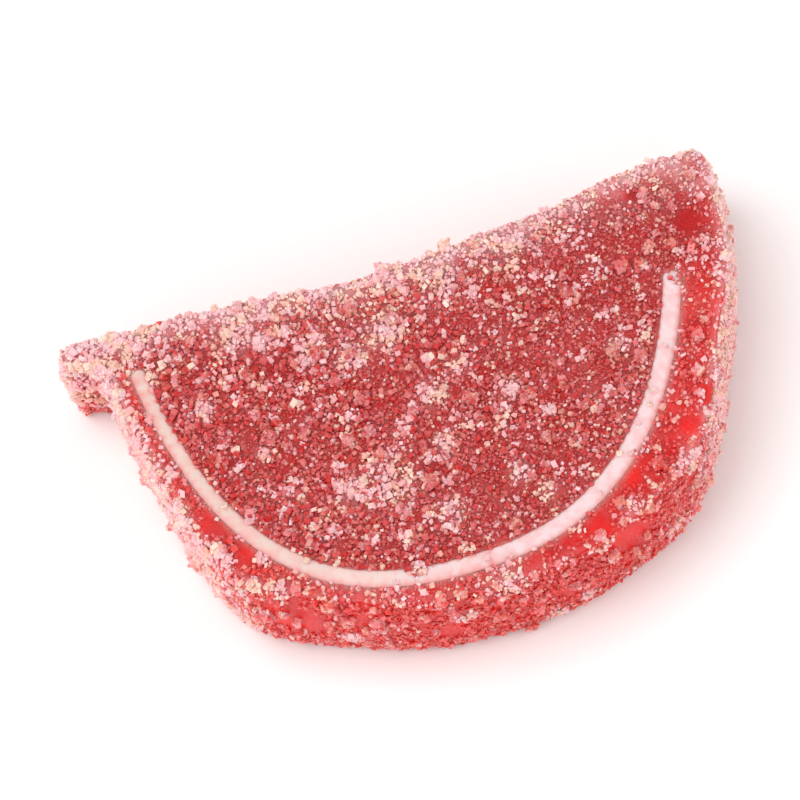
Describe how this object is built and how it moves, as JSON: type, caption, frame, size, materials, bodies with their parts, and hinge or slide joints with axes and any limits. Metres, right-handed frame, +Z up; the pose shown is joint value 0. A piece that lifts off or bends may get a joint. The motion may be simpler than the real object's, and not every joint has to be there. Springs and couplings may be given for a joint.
{
  "type": "jelly fruit slice",
  "caption": "Half-round red jelly sweet shaped like a citrus slice, with a white pith band let in behind its rind and a coat of coarse sugar.",
  "frame": {"origin": "middle of the bounding box's base, on the face that the slice lies on", "axes": "+Z up, away from the face that it lies on; X along the flat side; the flat side faces +Y and the rind curves round to -Y"},
  "size_m": [0.0472, 0.0282, 0.0098],
  "materials": {
    "sugared_jelly": "soft translucent red jelly under a rough coat of clear sugar crystals",
    "pith_jelly": "smooth satin, milky white"
  },
  "bodies": {
    "root": {"jelly": "sugared_jelly", "pith": "pith_jelly"}
  },
  "joints": []
}
